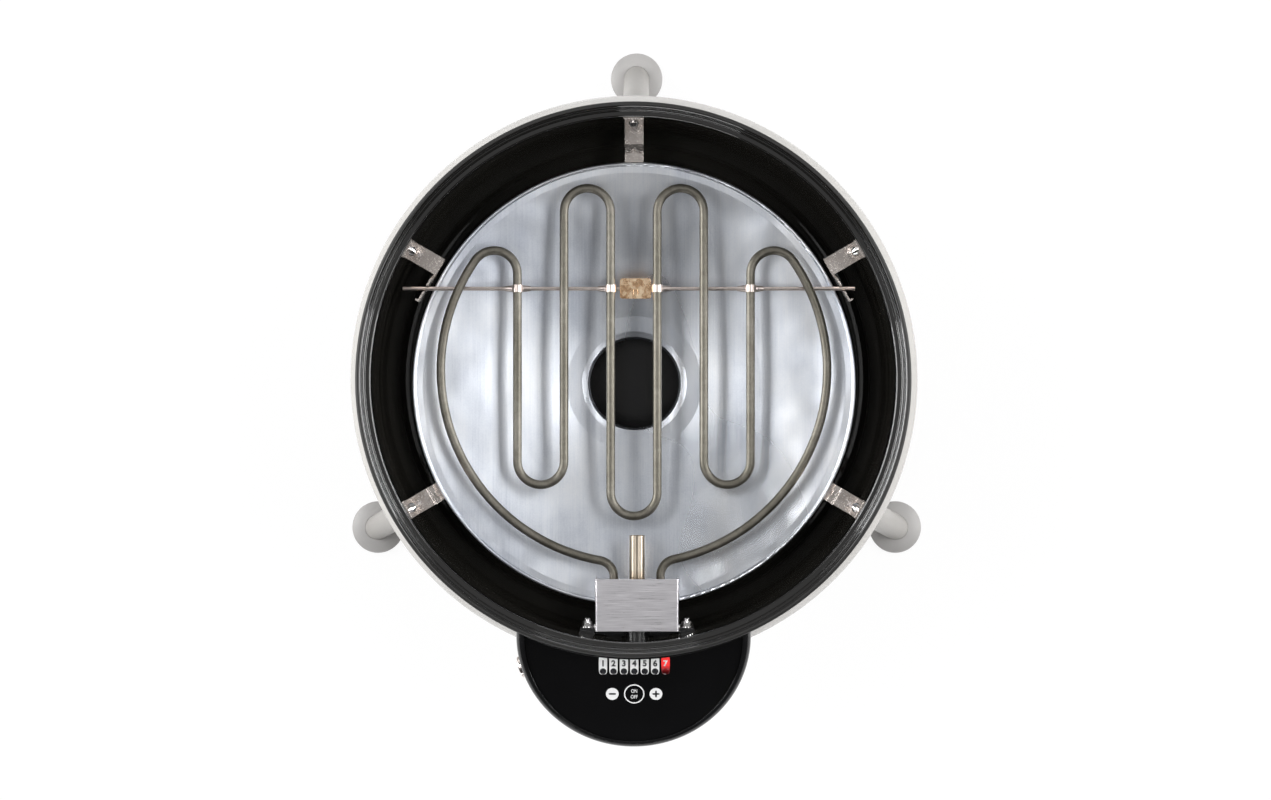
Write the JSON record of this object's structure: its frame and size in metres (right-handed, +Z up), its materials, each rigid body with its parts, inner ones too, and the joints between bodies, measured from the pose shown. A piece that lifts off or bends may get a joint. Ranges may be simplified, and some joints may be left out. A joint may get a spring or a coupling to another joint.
{
  "type": "electric barbecue grill",
  "caption": "Round table-top electric kettle grill: tilting tubular element and reflector in a black bowl, touch control disc, splayed legs and a slide-out drip tray",
  "frame": {"origin": "middle of the bowl's axis, on the surface that the three feet stand on", "axes": "+Z up, -Y towards the control disc at the front, +X to the right of someone who stands at the control disc"},
  "size_m": [0.498, 0.5679, 0.285],
  "materials": {
    "bowl_enamel": "gloss black vitreous enamel",
    "shell_enamel": "gloss cream enamel",
    "spout_steel": "black enamel",
    "bracket_plating": "nickel-plated pressed steel",
    "bright_screw": "bright plated steel",
    "reflector_sheet": "satin rolled aluminised sheet",
    "element_sheath": "oxidised alloy sheath",
    "rod_steel": "bright drawn steel",
    "tag_copper": "pressed copper alloy",
    "box_stainless": "brushed stainless steel",
    "white_ceramic": "unglazed ceramic",
    "probe_steel": "heat-tinted stainless steel",
    "lead_rubber": "silicone rubber",
    "housing_gloss": "gloss moulded, black",
    "housing_matt": "matt moulded, black",
    "touch_glass": "black back-printed glass",
    "board_laminate": "green laminate",
    "lamp_window": "white lens",
    "pad_metal": "plated contact metal",
    "relay_case": "moulded case",
    "button_chrome": "bright metallised cap",
    "leg_paint": "satin light grey paint",
    "socket_plastic": "moulded grey",
    "foot_plastic": "moulded light grey",
    "tray_enamel": "black enamel",
    "handle_wire": "bright wire",
    "runner_steel": "black enamelled pressed steel"
  },
  "bodies": {
    "grill": {"bracket_left_front": "bracket_plating", "bracket_left_rear": "bracket_plating", "bracket_rear": "bracket_plating", "bracket_right_front": "bracket_plating", "bracket_right_rear": "bracket_plating", "bracket_screws": "bright_screw", "button_collar": "button_chrome", "button_spring": "bright_screw", "circuit_board": "board_laminate", "drip_spout": "spout_steel", "flange_nuts": "bright_screw", "flange_studs": "bright_screw", "flange_washers": "bright_screw", "foot_left": "foot_plastic", "foot_rear": "foot_plastic", "foot_right": "foot_plastic", "heater_relay": "relay_case", "hinge_plate": "box_stainless", "housing_base": "housing_matt", "housing_cover": "housing_gloss", "housing_screws": "bright_screw", "inlet_pins": "pad_metal", "inner_bowl": "bowl_enamel", "lead_duct": "box_stainless", "lead_grommet": "lead_rubber", "leg_left": "leg_paint", "leg_rear": "leg_paint", "leg_right": "leg_paint", "leg_screws": "bright_screw", "leg_socket_left": "socket_plastic", "leg_socket_rear": "socket_plastic", "leg_socket_right": "socket_plastic", "level_lamps": "lamp_window", "mains_inlet": "housing_matt", "outer_shell": "shell_enamel", "reflector": "reflector_sheet", "runner_left": "runner_steel", "runner_right": "runner_steel", "runner_screws": "bright_screw", "side_switch": "relay_case", "spacer_sleeves": "bright_screw", "spout_ring_nut": "spout_steel", "supply_leads": "lead_rubber", "supply_module": "relay_case", "touch_glass": "touch_glass", "touch_pads": "pad_metal"},
    "heater": {"heating_element": "element_sheath", "support_rod": "rod_steel", "rod_clamps": "rod_steel", "centre_tag": "tag_copper", "terminal_box": "box_stainless", "element_plate": "box_stainless", "ceramic_bushes": "white_ceramic", "terminal_pins": "bright_screw", "probe_sleeve": "probe_steel", "probe_bulb": "probe_steel", "hinge_pin": "bright_screw"},
    "tray": {"drip_tray": "tray_enamel", "tray_handle": "handle_wire"},
    "push_button": {"side_button": "button_chrome"}
  },
  "joints": [
    {"name": "element_tilt", "type": "hinge", "parent": "grill", "child": "heater", "pos_m": [0.0025, -0.1912, 0.2464], "axis": [1, 0, 0], "range_deg": [0, 90]},
    {"name": "drip_tray_slide", "type": "slide", "parent": "grill", "child": "tray", "axis": [0, -1, 0], "range_m": [0, 0.19]},
    {"name": "side_button_press", "type": "slide", "parent": "grill", "child": "push_button", "axis": [0.9478, 0.3088, 0.0799], "range_m": [0, 0.0015], "stiffness_N_per_m": 800, "springref_m": -0.0005, "deforming": ["button_spring"]}
  ]
}
